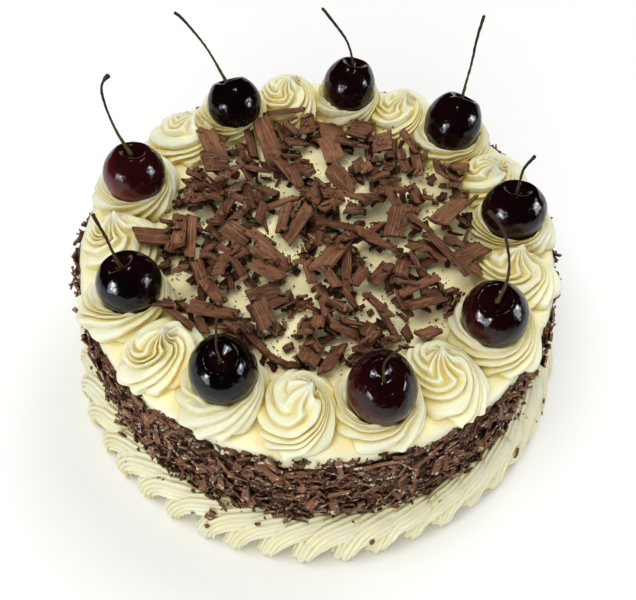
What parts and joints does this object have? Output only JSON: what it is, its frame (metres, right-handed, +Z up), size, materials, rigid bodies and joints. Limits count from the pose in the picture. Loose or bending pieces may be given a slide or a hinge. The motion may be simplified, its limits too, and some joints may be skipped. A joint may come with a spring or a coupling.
{
  "type": "black forest cake",
  "caption": "Round cream-coated cake with piped rosettes and dark cherries with stems round the top, chocolate flakes on top and side, and a piped cream rope at the foot.",
  "frame": {"origin": "middle of the cake's flat base, on the cake's upright axis", "axes": "+Z up; +Y to the back and +X to the right of the side that is shown"},
  "size_m": [0.2294, 0.2291, 0.1402],
  "materials": {
    "cream": "smooth spread cream, soft sheen, ivory",
    "piped_cream": "piped cream with crisp ridges, soft sheen, pale ivory",
    "chocolate": "broken milk chocolate flakes, dull satin",
    "cherry_skin": "very dark red glossy skin",
    "cherry_stem": "olive green to brown, dull"
  },
  "bodies": {
    "root": {"cake_body": "cream", "side_flakes": "chocolate", "top_flakes": "chocolate", "base_border": "piped_cream", "cherry_rosette_1": "piped_cream", "plain_rosette_1": "piped_cream", "cherry_1": "cherry_skin", "stem_1": "cherry_stem", "cherry_rosette_2": "piped_cream", "plain_rosette_2": "piped_cream", "cherry_2": "cherry_skin", "stem_2": "cherry_stem", "cherry_rosette_3": "piped_cream", "plain_rosette_3": "piped_cream", "cherry_3": "cherry_skin", "stem_3": "cherry_stem", "cherry_rosette_4": "piped_cream", "plain_rosette_4": "piped_cream", "cherry_4": "cherry_skin", "stem_4": "cherry_stem", "cherry_rosette_5": "piped_cream", "plain_rosette_5": "piped_cream", "cherry_5": "cherry_skin", "stem_5": "cherry_stem", "cherry_rosette_6": "piped_cream", "plain_rosette_6": "piped_cream", "cherry_6": "cherry_skin", "stem_6": "cherry_stem", "cherry_rosette_7": "piped_cream", "plain_rosette_7": "piped_cream", "cherry_7": "cherry_skin", "stem_7": "cherry_stem", "cherry_rosette_8": "piped_cream", "plain_rosette_8": "piped_cream", "cherry_8": "cherry_skin", "stem_8": "cherry_stem", "cherry_rosette_9": "piped_cream", "plain_rosette_9": "piped_cream", "cherry_9": "cherry_skin", "stem_9": "cherry_stem"}
  },
  "joints": []
}
